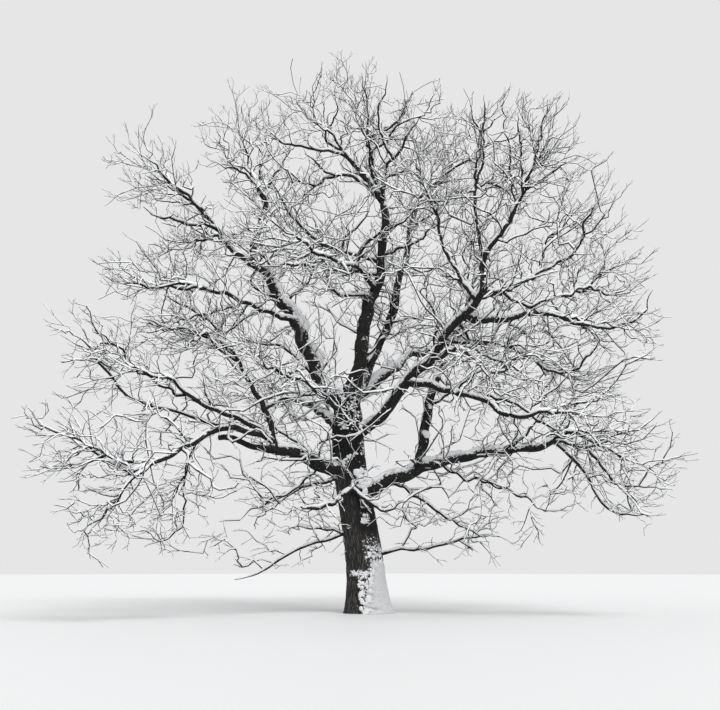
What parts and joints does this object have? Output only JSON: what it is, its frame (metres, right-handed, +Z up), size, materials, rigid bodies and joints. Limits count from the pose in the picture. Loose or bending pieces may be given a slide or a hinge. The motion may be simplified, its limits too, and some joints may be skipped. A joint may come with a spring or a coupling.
{
  "type": "bare oak tree",
  "caption": "Whole leafless oak in winter: leaning trunk with a flared foot, spreading main boughs, open masses of bare twigs, and snow packed against the foot.",
  "frame": {"origin": "middle of the flat cut under the trunk, at ground level", "axes": "+Z up, +X to the tree's right as seen in the picture, +Y away from the viewer"},
  "size_m": [17.5884, 15.7793, 17.8925],
  "materials": {
    "bark": "rough furrowed bark, near black where damp",
    "twigs": "fine dark bare twigs",
    "snow": "soft matt settled snow"
  },
  "bodies": {
    "root": {"trunk": "bark", "leader": "bark", "leader_left": "bark", "leader_top": "bark", "left_bough": "bark", "left_top": "bark", "left_riser": "bark", "left_mid": "bark", "low_left_bough": "bark", "low_left_stub": "bark", "low_left_riser": "bark", "low_left_outer": "bark", "low_left_droop": "bark", "low_left_hanging": "bark", "low_right_bough": "bark", "right_riser": "bark", "right_bough": "bark", "right_bough_upper": "bark", "right_top": "bark", "right_inner_riser": "bark", "right_outer": "bark", "right_outer_high": "bark", "right_far_riser": "bark", "right_sag": "bark", "right_mid": "bark", "back_stem": "bark", "back_right": "bark", "back_left": "bark", "front_left": "bark", "front_upper": "bark", "front_right": "bark", "crown_top": "twigs", "crown_top_right": "twigs", "crown_top_left": "twigs", "upper_left": "twigs", "left_high": "twigs", "left_shoulder": "twigs", "left_middle": "twigs", "left_upper_reach": "twigs", "left_reach": "twigs", "left_low": "twigs", "left_fall": "twigs", "left_hanging": "twigs", "front_left_mass": "twigs", "front_upper_mass": "twigs", "front_right_mass": "twigs", "back_top": "twigs", "back_right_mass": "twigs", "right_riser_mass": "twigs", "back_left_mass": "twigs", "right_crown": "twigs", "right_top_mass": "twigs", "right_inner": "twigs", "right_far": "twigs", "right_shoulder": "twigs", "right_low_shoulder": "twigs", "right_middle": "twigs", "right_low": "twigs", "low_right": "twigs", "foot_snow": "snow"}
  },
  "joints": []
}
